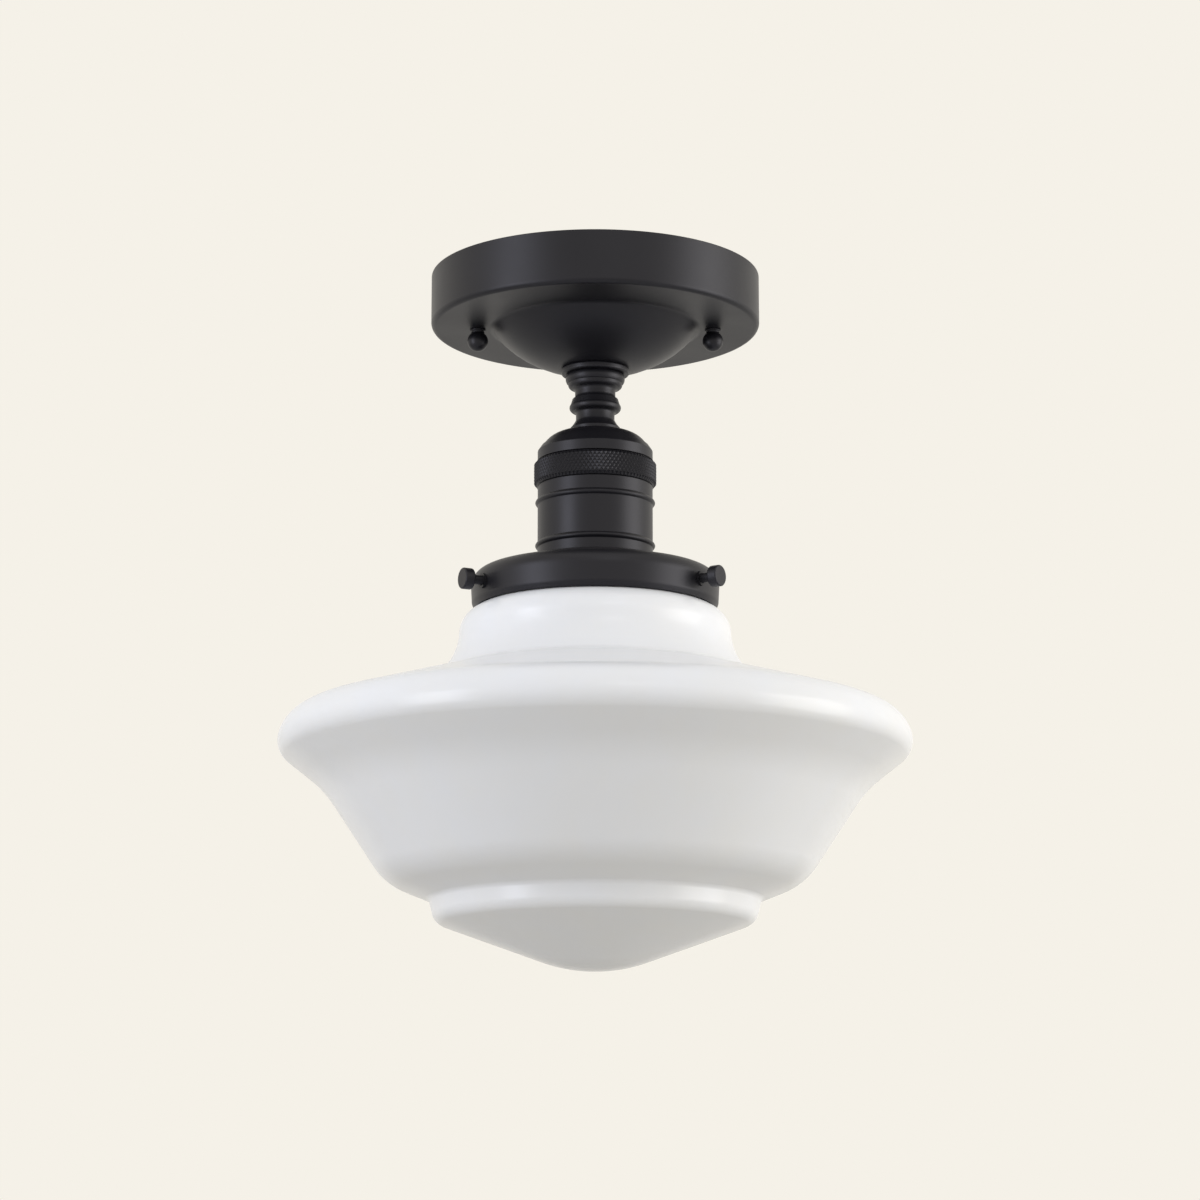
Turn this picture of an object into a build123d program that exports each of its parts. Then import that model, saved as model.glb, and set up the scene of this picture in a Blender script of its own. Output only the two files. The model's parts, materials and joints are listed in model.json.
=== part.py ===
from build123d import *
import os
from math import atan2, cos, pi, radians, sin, tan

os.makedirs("parts", exist_ok=True)

# A semi flush ceiling light: a steel canopy and turned stem carry a lamp socket,
# and a three-screw fitter under it holds an opal glass shade by its lip.
# The ceiling plane is z = 0, the light hangs along -Z, and all sizes are in mm.

# ---------------------------------------------------------------- fits
thread_gap = 0.05        # round a screw in its own thread, per side
slip_gap = 0.15          # round a rod or spigot that slides in, per side
travel_gap = 0.30        # between pieces that move past each other

# ---------------------------------------------------------------- ceiling bracket
stud_spacing = 88.9      # 3-1/2 in, the two studs that carry the canopy
box_screw_near = 69.85   # 2-3/4 in, box screws of a small ceiling box
box_screw_far = 88.9     # 3-1/2 in, box screws of a 4 in ceiling box
box_screw_slot = 4.6     # slot width for a No. 8 box screw
bracket_thickness = 2.4
bracket_arm_width = 18.0
bracket_arm_margin = 7.0   # metal past the outermost hole centre
bracket_wire_hole = 24.0
bracket_web = 7.0        # metal left round the wire hole
ground_screw_reach = 25.0  # axis to ground screw
ground_shank = 4.8
ground_head = 8.6
ground_head_height = 2.6
driver_slot_width = 1.1
driver_slot_depth = 1.0

stud_diameter = 4.17     # No. 8 thread
stud_nut_flats = 8.7
stud_nut_height = 3.2

# ---------------------------------------------------------------- canopy
canopy_radius = 62.0
canopy_height = 20.1     # ceiling to flat underside
canopy_wall = 1.2
canopy_edge = 2.0        # outer edge radius
dome_knob_room = 5.45    # axis of a knob to the foot of the raised dome
dome_drop = 15.4
dome_foot_slope = 49.7   # degrees from level, where the dome leaves the underside
dome_foot_blend = 3.0
stud_hole = 4.9

collar_radius = 12.8     # loose ring between canopy and stem
collar_height = 2.4
collar_edge = 0.8

# ---------------------------------------------------------------- canopy knobs
knob_ball = 7.8
knob_collar = 6.0
knob_collar_height = 1.1
knob_thread_spare = 0.4  # past the end of the stud
stud_reach = 5.0         # how far a stud stands out of the canopy

# ---------------------------------------------------------------- threaded tube and its nuts
tube_diameter = 9.7      # 1/8 IP lamp thread
tube_bore = 6.4
tube_nut_flats = 14.3
tube_nut_height = 3.4
lock_washer_radius = 8.6
lock_washer_height = 1.0
tube_spare = 2.0         # thread left past the upper nut

# ---------------------------------------------------------------- turned stem, top to bottom
bead_radius = 11.15      # big upper bead
bead_height = 3.4
bead_lip_radius = 10.5   # bead at its top and bottom edges
ovolo_radius = 10.2      # quarter round below the bead
ovolo_height = 3.1
ovolo_land = 0.5         # straight rim above the quarter round
waist_radius = 7.6
waist_height = 1.6
cove_radius = 8.4        # cove opening out below the waist
cove_height = 1.4
ring_step = 0.2
swell_radius = 9.75      # second bead
swell_rise = 3.3         # from the cove to its widest place
swell_fall = 2.5
shaft_radius = 7.26
shaft_height = 3.0
foot_radius = 9.5
foot_flare = 2.6
foot_flare_slope = 65.0  # degrees from level, where the flare leaves the shaft
foot_height = 1.8

# ---------------------------------------------------------------- socket cap, knurled ring and sleeve
cap_flat_radius = 10.8   # level seat under the stem
cap_arc_spare = 1.4      # how far the dome's arc is from a full quarter round
cap_shoulder_width = 1.9   # the dome's edge to the straight band
cap_step = 0.45
cap_chamfer = 2.1        # sloped shoulder below the step
cap_height = 10.95
cap_wall = 1.0
knurl_proud = 1.4
knurl_height = 10.0
knurl_chamfer = 0.8
sleeve_inset = 0.05      # inside the line of the cap's band
sleeve_length = 27.9     # knurled ring to fitter
sleeve_wall = 1.2
spigot_depth = 3.0       # sleeve inside the cap
sleeve_bead_height = 2.0
sleeve_bead_proud = 0.9
upper_bead_drop = 6.05   # sleeve shoulder to centre of the upper bead
lower_bead_drop = 22.45
sleeve_tail = 5.2        # threaded end below the fitter's top

# ---------------------------------------------------------------- fitter
fitter_height = 18.95
fitter_wall = 1.0
fitter_seat_width = 3.8  # level seat round the sleeve
fitter_lip_room = 4.35   # lip of the glass to the inside of the skirt
fitter_shoulder_proud = 0.6   # of the skirt
fitter_shoulder_drop = 5.7
fitter_knee = 6.0
fitter_curl_height = 2.1   # the last of the skirt turns in
fitter_rim_inset = 1.3   # from the skirt
fitter_curl = 2.4
ring_nut_width = 3.1
ring_nut_height = 2.6
ring_nut_notch = 2.4

# ---------------------------------------------------------------- thumbscrews
thumbscrew_count = 3
thumbscrew_first = 87.0  # degrees from +X, the one at the back
thumbscrew_rise = 6.9    # axis above the fitter's rim
thumbscrew_shank = 3.5
thumbscrew_head = 7.9
thumbscrew_head_height = 3.9
thumbscrew_head_gap = 5.1      # skirt to the inner face of the head
thumbscrew_chamfer = 0.6
bushing_diameter = 5.6
bushing_inside = 1.2     # past the inner face of the fitter's wall
bushing_outside = 0.9

# ---------------------------------------------------------------- glass shade, outer outline
# From the neck down, each corner is a width and a drop from the one before it, and
# is rounded by its own radius.
shade_wall = 3.0
shade_lip_radius = 40.55   # 3-1/4 in fitter size
shade_lip_land = 1.2     # straight part of the lip above its taper
shade_lip_round = 1.0    # between the straight part and the taper
shade_lip_gap = 0.8      # lip to the inside of the fitter
shade_lip_proud = 1.35   # of the neck
shade_neck_foot = 1.8    # height above the rim where the neck opens out
shade_neck_round = 3.0
bulge_width = 10.9
bulge_drop = 4.3
bulge_round = 10.0
collar_width = 0.7       # side of the rounded glass collar
collar_drop = 12.65
collar_round = 22.0
flare_width = 6.1        # foot of the glass collar
flare_drop = 9.7
flare_round = 3.5
shoulder_width = 57.3
shoulder_drop = 16.3
shoulder_round = 13.0
belly_width = 3.8
belly_drop = 11.8
belly_round = 7.1
undercut_width = -17.6   # inwards, to where the side gets straight
undercut_drop = 13.9
undercut_round = 45.0
side_width = -22.8
side_drop = 34.4
side_round = 21.5
hip_width = -16.8        # to the corner above the bottom step
hip_drop = 6.9
hip_round = 0.8
step_width = -1.8
step_drop = 8.0
step_round = 5.5
cone_drop = 17.85
tip_radius = 10.5        # nearly level middle of the bottom
tip_round = 56.0
round_share = 0.98       # how much of a straight its two roundings may use up

# ---------------------------------------------------------------- lamp socket inside the sleeve
hub_flange_margin = 3.0  # past the axes of its screws
hub_flange_height = 1.6
hub_radius = 7.6
hub_height = 5.0
tube_in_hub = 4.0
body_neck_web = 1.25     # upper part of the porcelain, past the screw shell
body_neck_height = 14.0
body_clearance = 0.4     # porcelain to sleeve
shell_thickness = 0.6
shell_height = 24.5
body_rim = 1.0           # porcelain past the mouth of the screw shell
hub_screw_room = 0.3     # screw heads to the hub
hub_screw_shank = 2.8
hub_screw_head = 4.6
hub_screw_head_height = 1.6
hub_screw_length = 7.0
terminal_shank = 3.4
terminal_head = 6.0
terminal_head_height = 2.2
terminal_length = 6.0
terminal_drop = 7.0      # top of the porcelain to the terminal screws
terminal_room = 1.85     # terminal screw heads to the sleeve
contact_thickness = 0.5
contact_width = 6.0
contact_reach = 8.0      # length of the flat part on the porcelain
contact_fold = 2.4       # height from porcelain to the springing tongue
contact_tongue = 6.5

# ---------------------------------------------------------------- lamp
lamp_cap_radius = 13.05  # medium screw cap
lamp_cap_height = 21.0
lamp_cap_wall = 0.5
lamp_crown_radius = 7.2
lamp_crown_height = 2.6
lamp_button_radius = 4.8
lamp_button_height = 1.2
lamp_radius = 30.0
lamp_length = 110.0
lamp_glass = 1.0
lamp_neck_straight = 7.2565   # glass below the screw cap, before the neck widens

# ---------------------------------------------------------------- radii worked out from the sizes
# The socket is built outwards round the lamp and the fitter round the lip of the glass.
tube_radius = tube_diameter / 2
tube_hole_radius = tube_radius + slip_gap
stud_radius = stud_diameter / 2
dome_radius = stud_spacing / 2 - dome_knob_room

shell_bore = lamp_cap_radius + travel_gap
shell_radius = shell_bore + shell_thickness
body_neck_radius = shell_radius + body_neck_web
hub_screw_reach = hub_radius + hub_screw_head / 2 + hub_screw_room
hub_flange_radius = hub_screw_reach + hub_flange_margin
spigot_bore = body_neck_radius + terminal_head_height + terminal_room
spigot_radius = spigot_bore + sleeve_wall
cap_radius = spigot_radius + slip_gap + cap_wall
cap_dome_radius = cap_radius - cap_shoulder_width
cap_arc_radius = cap_dome_radius - cap_flat_radius + cap_arc_spare
knurl_radius = cap_radius + knurl_proud
sleeve_radius = cap_radius - sleeve_inset

fitter_seat = spigot_radius + slip_gap + fitter_seat_width
ring_nut_radius = spigot_radius + thread_gap + ring_nut_width
fitter_skirt_radius = shade_lip_radius + fitter_lip_room + fitter_wall
fitter_shoulder_radius = fitter_skirt_radius + fitter_shoulder_proud
fitter_rim_radius = fitter_skirt_radius - fitter_rim_inset
shade_neck_radius = shade_lip_radius - shade_lip_proud
screw_tip_radius = shade_neck_radius + travel_gap
thumbscrew_head_reach = fitter_skirt_radius + thumbscrew_head_gap

# ---------------------------------------------------------------- heights worked out from the sizes
underside_z = -canopy_height
dome_floor_z = underside_z - dome_drop
stem_top_z = dome_floor_z - collar_height
stem_height = (bead_height + ovolo_height + waist_height + cove_height + swell_rise
               + swell_fall + shaft_height + foot_flare + foot_height)
cap_top_z = stem_top_z - stem_height
knurl_top_z = cap_top_z - cap_height
sleeve_shoulder_z = knurl_top_z - knurl_height
fitter_top_z = sleeve_shoulder_z - sleeve_length
fitter_rim_z = fitter_top_z - fitter_height
screw_z = fitter_rim_z + thumbscrew_rise

dome_inside_z = dome_floor_z + canopy_wall
tube_nut_z = dome_inside_z + lock_washer_height
tube_top_z = tube_nut_z + tube_nut_height + tube_spare
cap_inside_z = cap_top_z - cap_wall
hub_top_z = cap_inside_z - tube_nut_height
body_top_z = hub_top_z - hub_height
tube_bottom_z = hub_top_z - tube_in_hub


def fitter_ceiling_z(radius):
    """Inner face of the fitter's sloping shoulder at a radius."""
    run = fitter_shoulder_radius - fitter_seat
    slope = atan2(fitter_shoulder_drop, run)
    return fitter_top_z - (radius - fitter_seat) * tan(slope) - fitter_wall / cos(slope)


def screw_plane(turn, reach):
    """Plane square to one of the thumbscrews, at a reach from the light's axis."""
    azimuth = radians(thumbscrew_first + turn * 360 / thumbscrew_count)
    outward = Vector(cos(azimuth), sin(azimuth), 0)
    return Plane(origin=outward * reach + Vector(0, 0, screw_z), z_dir=outward)


def hexagon_nut(flats, height, bore_radius, bottom_z, x=0.0):
    """Add a chamfered hexagon nut, standing on bottom_z, to the part in hand."""
    corner = flats / 2 / cos(pi / 6)
    with BuildSketch(Plane.XY.offset(bottom_z)) as section:
        with Locations((x, 0)):
            RegularPolygon(radius=corner, side_count=6)
            Circle(bore_radius, mode=Mode.SUBTRACT)
    extrude(section.sketch, amount=height)


def rounding_that_fits(corners, roundings):
    """Roundings of an outline's corners, made smaller where two would meet on a straight."""
    points = [Vector(*corner) for corner in corners]
    legs = [after - before for before, after in zip(points, points[1:])]
    turns = [before.get_angle(after) for before, after in zip(legs, legs[1:])]
    taken = [rounding * tan(radians(turn) / 2) for rounding, turn in zip(roundings, turns)]
    taken = [0, *taken, 0]
    shares = [
        min(1, round_share * leg.length / (near + far))
        for leg, near, far in zip(legs, taken, taken[1:])
    ]
    return [rounding * min(pair) for rounding, pair in zip(roundings, zip(shares, shares[1:]))]


def tube(outer, inner, top_z, bottom_z):
    """Add a plain round tube on the axis to the part in hand."""
    with BuildSketch(Plane.XY.offset(bottom_z)) as section:
        Circle(outer)
        Circle(inner, mode=Mode.SUBTRACT)
    extrude(section.sketch, amount=top_z - bottom_z)


# ================================================================ ceiling bracket
# A cross of strip steel. One arm has the tapped holes of the canopy studs and the
# other the slots that go over the screws of the ceiling box.
slot_centre = (box_screw_near + box_screw_far) / 4
slot_length = (box_screw_far - box_screw_near) / 2 + box_screw_slot
stud_arm = stud_spacing + 2 * bracket_arm_margin
slot_arm = box_screw_far + 2 * bracket_arm_margin
bracket_corner = bracket_arm_width / 2 - 0.5

with BuildPart() as ceiling_bracket:
    with BuildSketch(Plane.XY.offset(-bracket_thickness)):
        RectangleRounded(stud_arm, bracket_arm_width, bracket_corner)
        RectangleRounded(bracket_arm_width, slot_arm, bracket_corner)
        Circle(bracket_wire_hole / 2 + bracket_web)
        Circle(bracket_wire_hole / 2, mode=Mode.SUBTRACT)
        with Locations((stud_spacing / 2, 0), (-stud_spacing / 2, 0)):
            Circle(stud_radius + thread_gap, mode=Mode.SUBTRACT)
        with Locations((ground_screw_reach, 0)):
            Circle(ground_shank / 2 + thread_gap, mode=Mode.SUBTRACT)
        with Locations((0, slot_centre), (0, -slot_centre)):
            SlotOverall(slot_length, box_screw_slot, rotation=90, mode=Mode.SUBTRACT)
    extrude(amount=bracket_thickness)
ceiling_bracket.part.label = "ceiling_bracket"
export_step(ceiling_bracket.part, "parts/ceiling_bracket.step")

# ================================================================ canopy studs
stud_bottom_z = underside_z - stud_reach
with BuildPart() as canopy_studs:
    with BuildSketch(Plane.XY.offset(stud_bottom_z)):
        with Locations((stud_spacing / 2, 0), (-stud_spacing / 2, 0)):
            Circle(stud_radius)
    extrude(amount=-stud_bottom_z)
    tips = canopy_studs.edges().group_by(Axis.Z)[0]
    chamfer(tips, length=stud_diameter * 0.12)
canopy_studs.part.label = "canopy_studs"
export_step(canopy_studs.part, "parts/canopy_studs.step")

# ================================================================ stud lock nuts
stud_nut_z = -bracket_thickness - stud_nut_height
with BuildPart() as stud_lock_nuts:
    for side in (1, -1):
        hexagon_nut(stud_nut_flats, stud_nut_height, stud_radius + thread_gap, stud_nut_z,
                    x=side * stud_spacing / 2)
stud_lock_nuts.part.label = "stud_lock_nuts"
export_step(stud_lock_nuts.part, "parts/stud_lock_nuts.step")

# ================================================================ ground screw
ground_head_z = -bracket_thickness - ground_head_height
with BuildPart() as ground_screw:
    with BuildSketch(Plane.XY.offset(ground_head_z)):
        with Locations((ground_screw_reach, 0)):
            RegularPolygon(radius=ground_head / 2, side_count=6)
    extrude(amount=ground_head_height)
    with BuildSketch(Plane.XY.offset(-bracket_thickness)):
        with Locations((ground_screw_reach, 0)):
            Circle(ground_shank / 2)
    extrude(amount=bracket_thickness)
    with BuildSketch(Plane.XY.offset(ground_head_z)):
        with Locations((ground_screw_reach, 0)):
            Rectangle(ground_head * 2, driver_slot_width)
    extrude(amount=driver_slot_depth, mode=Mode.SUBTRACT)
ground_screw.part.label = "ground_screw"
export_step(ground_screw.part, "parts/ground_screw.step")

# ================================================================ canopy
# A spun steel pan, closed towards the room, with a raised dome that carries the stem.
# The outer outline is drawn once and the sheet is its parallel inside.
dome_blend_start = dome_radius + dome_foot_blend * tan(radians(dome_foot_slope) / 2)
with BuildPart() as canopy:
    with BuildSketch(Plane.XZ):
        with BuildLine():
            wall_line = FilletPolyline(
                (canopy_radius, 0),
                (canopy_radius, underside_z),
                (dome_blend_start, underside_z),
                radius=canopy_edge,
            )
            blend_line = JernArc(wall_line @ 1, (-1, 0), dome_foot_blend, dome_foot_slope)
            dome_line = TangentArc(
                blend_line @ 1,
                (collar_radius, dome_floor_z),
                tangent=blend_line % 1,
            )
            seat_line = Line(dome_line @ 1, (tube_hole_radius, dome_floor_z))
            offset(amount=canopy_wall, side=Side.RIGHT)
        make_face()
    revolve(axis=Axis.Z)
    with BuildSketch(Plane.XY.offset(underside_z)):
        with Locations((stud_spacing / 2, 0), (-stud_spacing / 2, 0)):
            Circle(stud_hole / 2)
    extrude(amount=canopy_wall, mode=Mode.SUBTRACT)
canopy.part.label = "canopy"
export_step(canopy.part, "parts/canopy.step")

# ================================================================ collar under the canopy
with BuildPart() as canopy_collar:
    tube(collar_radius, tube_hole_radius, dome_floor_z, stem_top_z)
    rims = canopy_collar.edges().filter_by(GeomType.CIRCLE).group_by(SortBy.RADIUS)[-1]
    fillet(rims, radius=collar_edge)
canopy_collar.part.label = "canopy_collar"
export_step(canopy_collar.part, "parts/canopy_collar.step")

# ================================================================ canopy knobs
# Ball nuts that screw up the studs and hold the canopy to the ceiling.
knob_ball_z = underside_z - knob_collar_height - knob_ball / 2 + 0.5
for side, name in ((-1, "canopy_knob_left"), (1, "canopy_knob_right")):
    with BuildPart() as canopy_knob:
        with Locations((side * stud_spacing / 2, 0, knob_ball_z)):
            Sphere(knob_ball / 2)
        with BuildSketch(Plane.XY.offset(underside_z)):
            with Locations((side * stud_spacing / 2, 0)):
                Circle(knob_collar / 2)
        extrude(amount=knob_ball_z - underside_z)
        with BuildSketch(Plane.XY.offset(underside_z)):
            with Locations((side * stud_spacing / 2, 0)):
                Circle(stud_radius + slip_gap)
        extrude(amount=-stud_reach - knob_thread_spare, mode=Mode.SUBTRACT)
    canopy_knob.part.label = name
    export_step(canopy_knob.part, f"parts/{name}.step")

# ================================================================ threaded tube
with BuildPart() as threaded_tube:
    tube(tube_radius, tube_bore / 2, tube_top_z, tube_bottom_z)
threaded_tube.part.label = "threaded_tube"
export_step(threaded_tube.part, "parts/threaded_tube.step")

with BuildPart() as lock_washer:
    tube(lock_washer_radius, tube_hole_radius, tube_nut_z, dome_inside_z)
lock_washer.part.label = "lock_washer"
export_step(lock_washer.part, "parts/lock_washer.step")

with BuildPart() as upper_tube_nut:
    hexagon_nut(tube_nut_flats, tube_nut_height, tube_radius + thread_gap, tube_nut_z)
upper_tube_nut.part.label = "upper_tube_nut"
export_step(upper_tube_nut.part, "parts/upper_tube_nut.step")

with BuildPart() as lower_tube_nut:
    hexagon_nut(tube_nut_flats, tube_nut_height, tube_radius + thread_gap,
                cap_inside_z - tube_nut_height)
lower_tube_nut.part.label = "lower_tube_nut"
export_step(lower_tube_nut.part, "parts/lower_tube_nut.step")

# ================================================================ turned stem
# Solid brass bar turned to a bead, quarter round, waist, cove, second bead, short
# shaft and foot, and bored through for the threaded tube.
ovolo_top = stem_top_z - bead_height
waist_top = ovolo_top - ovolo_height
cove_top = waist_top - waist_height
cove_foot = cove_top - cove_height
swell_mid = cove_foot - swell_rise
shaft_top = swell_mid - swell_fall
flare_top = shaft_top - shaft_height
foot_top = flare_top - foot_flare
flare_slope = radians(foot_flare_slope)

with BuildPart() as turned_stem:
    with BuildSketch(Plane.XZ):
        with BuildLine():
            Line((tube_hole_radius, stem_top_z), (bead_lip_radius, stem_top_z))
            ThreePointArc(
                (bead_lip_radius, stem_top_z),
                (bead_radius, stem_top_z - bead_height / 2),
                (bead_lip_radius, ovolo_top),
            )
            Polyline(
                (bead_lip_radius, ovolo_top),
                (ovolo_radius, ovolo_top),
                (ovolo_radius, ovolo_top - ovolo_land),
            )
            TangentArc(
                (ovolo_radius, ovolo_top - ovolo_land),
                (waist_radius, waist_top),
                tangent=(0, -1),
            )
            Line((waist_radius, waist_top), (waist_radius, cove_top))
            TangentArc((waist_radius, cove_top), (cove_radius, cove_foot), tangent=(0, -1))
            Line((cove_radius, cove_foot), (cove_radius + ring_step, cove_foot))
            TangentArc(
                (swell_radius, swell_mid),
                (cove_radius + ring_step, cove_foot),
                tangent=(0, 1),
            )
            TangentArc((swell_radius, swell_mid), (shaft_radius, shaft_top), tangent=(0, -1))
            Line((shaft_radius, shaft_top), (shaft_radius, flare_top))
            TangentArc(
                (shaft_radius, flare_top),
                (foot_radius, foot_top),
                tangent=(cos(flare_slope), -sin(flare_slope)),
            )
            Polyline(
                (foot_radius, foot_top),
                (foot_radius, cap_top_z),
                (tube_hole_radius, cap_top_z),
                (tube_hole_radius, stem_top_z),
            )
        make_face()
    revolve(axis=Axis.Z)
turned_stem.part.label = "turned_stem"
export_step(turned_stem.part, "parts/turned_stem.step")

# ================================================================ socket cap
# A spun cup: level seat, round dome, small step, sloped shoulder and straight band.
cap_arc_turn = (cap_dome_radius - cap_flat_radius) / cap_arc_radius
cap_arc_drop = cap_arc_radius * (1 - (1 - cap_arc_turn ** 2) ** 0.5)
cap_step_z = cap_top_z - cap_arc_drop
with BuildPart() as socket_cap:
    with BuildSketch(Plane.XZ):
        with BuildLine():
            Line((tube_hole_radius, cap_top_z), (cap_flat_radius, cap_top_z))
            TangentArc(
                (cap_flat_radius, cap_top_z),
                (cap_dome_radius, cap_step_z),
                tangent=(1, 0),
            )
            Polyline(
                (cap_dome_radius, cap_step_z),
                (cap_dome_radius + cap_step, cap_step_z),
                (cap_radius, cap_step_z - cap_chamfer),
                (cap_radius, knurl_top_z),
                (cap_radius - cap_wall, knurl_top_z),
                (cap_radius - cap_wall, cap_step_z - cap_chamfer),
                (cap_dome_radius - cap_wall, cap_step_z - cap_wall),
            )
            TangentArc(
                (cap_flat_radius, cap_inside_z),
                (cap_dome_radius - cap_wall, cap_step_z - cap_wall),
                tangent=(1, 0),
            )
            Polyline(
                (cap_flat_radius, cap_inside_z),
                (tube_hole_radius, cap_inside_z),
                (tube_hole_radius, cap_top_z),
            )
        make_face()
    revolve(axis=Axis.Z)
socket_cap.part.label = "socket_cap"
export_step(socket_cap.part, "parts/socket_cap.step")

# ================================================================ knurled ring
with BuildPart() as knurled_ring:
    tube(knurl_radius, spigot_radius + thread_gap, knurl_top_z, sleeve_shoulder_z)
    rims = knurled_ring.edges().filter_by(GeomType.CIRCLE).group_by(SortBy.RADIUS)[-1]
    chamfer(rims, length=knurl_chamfer)
knurled_ring.part.label = "knurled_ring"
export_step(knurled_ring.part, "parts/knurled_ring.step")

# ================================================================ socket sleeve
# The tube round the socket, with two rolled beads. Its upper end stands in the cap
# and its threaded lower end carries the fitter.
sleeve_tail_z = fitter_top_z - sleeve_tail
with BuildPart() as socket_sleeve:
    with BuildSketch(Plane.XZ):
        with BuildLine():
            Polyline(
                (spigot_bore, knurl_top_z + spigot_depth),
                (spigot_radius, knurl_top_z + spigot_depth),
                (spigot_radius, sleeve_shoulder_z),
                (sleeve_radius, sleeve_shoulder_z),
                (sleeve_radius, fitter_top_z),
                (spigot_radius, fitter_top_z),
                (spigot_radius, sleeve_tail_z),
                (spigot_bore, sleeve_tail_z),
                (spigot_bore, fitter_top_z + sleeve_wall),
                (sleeve_radius - sleeve_wall, fitter_top_z + sleeve_wall),
                (sleeve_radius - sleeve_wall, sleeve_shoulder_z - sleeve_wall),
                (spigot_bore, sleeve_shoulder_z - sleeve_wall),
                close=True,
            )
        make_face()
        for drop in (upper_bead_drop, lower_bead_drop):
            bead_z = sleeve_shoulder_z - drop
            with BuildLine():
                ThreePointArc(
                    (sleeve_radius, bead_z + sleeve_bead_height / 2),
                    (sleeve_radius + sleeve_bead_proud, bead_z),
                    (sleeve_radius, bead_z - sleeve_bead_height / 2),
                )
                Line(
                    (sleeve_radius, bead_z - sleeve_bead_height / 2),
                    (sleeve_radius, bead_z + sleeve_bead_height / 2),
                )
            make_face()
    revolve(axis=Axis.Z)
socket_sleeve.part.label = "socket_sleeve"
export_step(socket_sleeve.part, "parts/socket_sleeve.step")

# ================================================================ fitter
# A pressed cup: level seat, sloping shoulder, rounded knee and a skirt that curls in.
with BuildPart() as fitter:
    with BuildSketch(Plane.XZ):
        with BuildLine():
            FilletPolyline(
                (spigot_radius + slip_gap, fitter_top_z),
                (fitter_seat, fitter_top_z),
                (fitter_shoulder_radius, fitter_top_z - fitter_shoulder_drop),
                (fitter_skirt_radius, fitter_rim_z + fitter_curl_height),
                (fitter_rim_radius, fitter_rim_z),
                radius=(fitter_knee, fitter_knee, fitter_curl),
            )
            offset(amount=fitter_wall, side=Side.RIGHT)
        make_face()
    revolve(axis=Axis.Z)
    for turn in range(thumbscrew_count):
        with BuildSketch(screw_plane(turn, shade_lip_radius)):
            Circle(bushing_diameter / 2)
        extrude(amount=fitter_skirt_radius - shade_lip_radius + fitter_wall, mode=Mode.SUBTRACT)
fitter.part.label = "fitter"
export_step(fitter.part, "parts/fitter.step")

# ================================================================ thumbscrew bushings
# Riveted steel bushes give the thin wall enough thread for the thumbscrews.
bushing_inner = fitter_skirt_radius - fitter_wall - bushing_inside
bushing_outer = fitter_skirt_radius + bushing_outside
with BuildPart() as thumbscrew_bushings:
    for turn in range(thumbscrew_count):
        with BuildSketch(screw_plane(turn, bushing_inner)):
            Circle(bushing_diameter / 2)
            Circle(thumbscrew_shank / 2 + slip_gap, mode=Mode.SUBTRACT)
        extrude(amount=bushing_outer - bushing_inner)
thumbscrew_bushings.part.label = "thumbscrew_bushings"
export_step(thumbscrew_bushings.part, "parts/thumbscrew_bushings.step")

# ================================================================ thumbscrews
# Plain round heads on shanks that reach in under the lip of the glass.
for turn in range(thumbscrew_count):
    with BuildPart() as thumbscrew:
        with BuildSketch(screw_plane(turn, screw_tip_radius)):
            Circle(thumbscrew_shank / 2)
        extrude(amount=thumbscrew_head_reach - screw_tip_radius)
        with BuildSketch(screw_plane(turn, thumbscrew_head_reach)):
            Circle(thumbscrew_head / 2)
        extrude(amount=thumbscrew_head_height)
        head_rims = thumbscrew.edges().filter_by(GeomType.CIRCLE).group_by(SortBy.RADIUS)[-1]
        chamfer(head_rims, length=thumbscrew_chamfer)
    thumbscrew.part.label = f"thumbscrew_{turn + 1}"
    export_step(thumbscrew.part, f"parts/thumbscrew_{turn + 1}.step")

# ================================================================ fitter ring nut
ring_nut_top_z = fitter_top_z - fitter_wall
with BuildPart() as fitter_ring_nut:
    tube(ring_nut_radius, spigot_radius + thread_gap, ring_nut_top_z, ring_nut_top_z - ring_nut_height)
    with BuildSketch(Plane.XY.offset(ring_nut_top_z - ring_nut_height)):
        with PolarLocations(ring_nut_radius, 6):
            Rectangle(ring_nut_notch, ring_nut_notch)
    extrude(amount=ring_nut_height, mode=Mode.SUBTRACT)
fitter_ring_nut.part.label = "fitter_ring_nut"
export_step(fitter_ring_nut.part, "parts/fitter_ring_nut.step")

# ================================================================ glass shade
# One blown shell of even thickness: a lip and neck inside the fitter, a rounded
# collar, a wide low shoulder, an undercut belly, long tapering sides and a stepped foot.
lip_top_z = fitter_ceiling_z(shade_lip_radius) - shade_lip_gap
taper_foot_z = screw_z + thumbscrew_shank / 2
shade_corners = [
    (shade_lip_radius, lip_top_z),
    (shade_lip_radius, lip_top_z - shade_lip_land),
    (shade_neck_radius, taper_foot_z),
    (shade_neck_radius, fitter_rim_z + shade_neck_foot),
]
shade_roundings = [shade_lip_round, shade_neck_round, shade_neck_round]
for width, drop, rounding in (
    (bulge_width, bulge_drop, bulge_round),
    (collar_width, collar_drop, collar_round),
    (flare_width, flare_drop, flare_round),
    (shoulder_width, shoulder_drop, shoulder_round),
    (belly_width, belly_drop, belly_round),
    (undercut_width, undercut_drop, undercut_round),
    (side_width, side_drop, side_round),
    (hip_width, hip_drop, hip_round),
    (step_width, step_drop, step_round),
):
    last_x, last_z = shade_corners[-1]
    shade_corners.append((last_x + width, last_z - drop))
    shade_roundings.append(rounding)
shade_bottom_z = shade_corners[-1][1] - cone_drop
shade_corners += [(tip_radius, shade_bottom_z), (0, shade_bottom_z)]
shade_roundings.append(tip_round)

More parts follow.
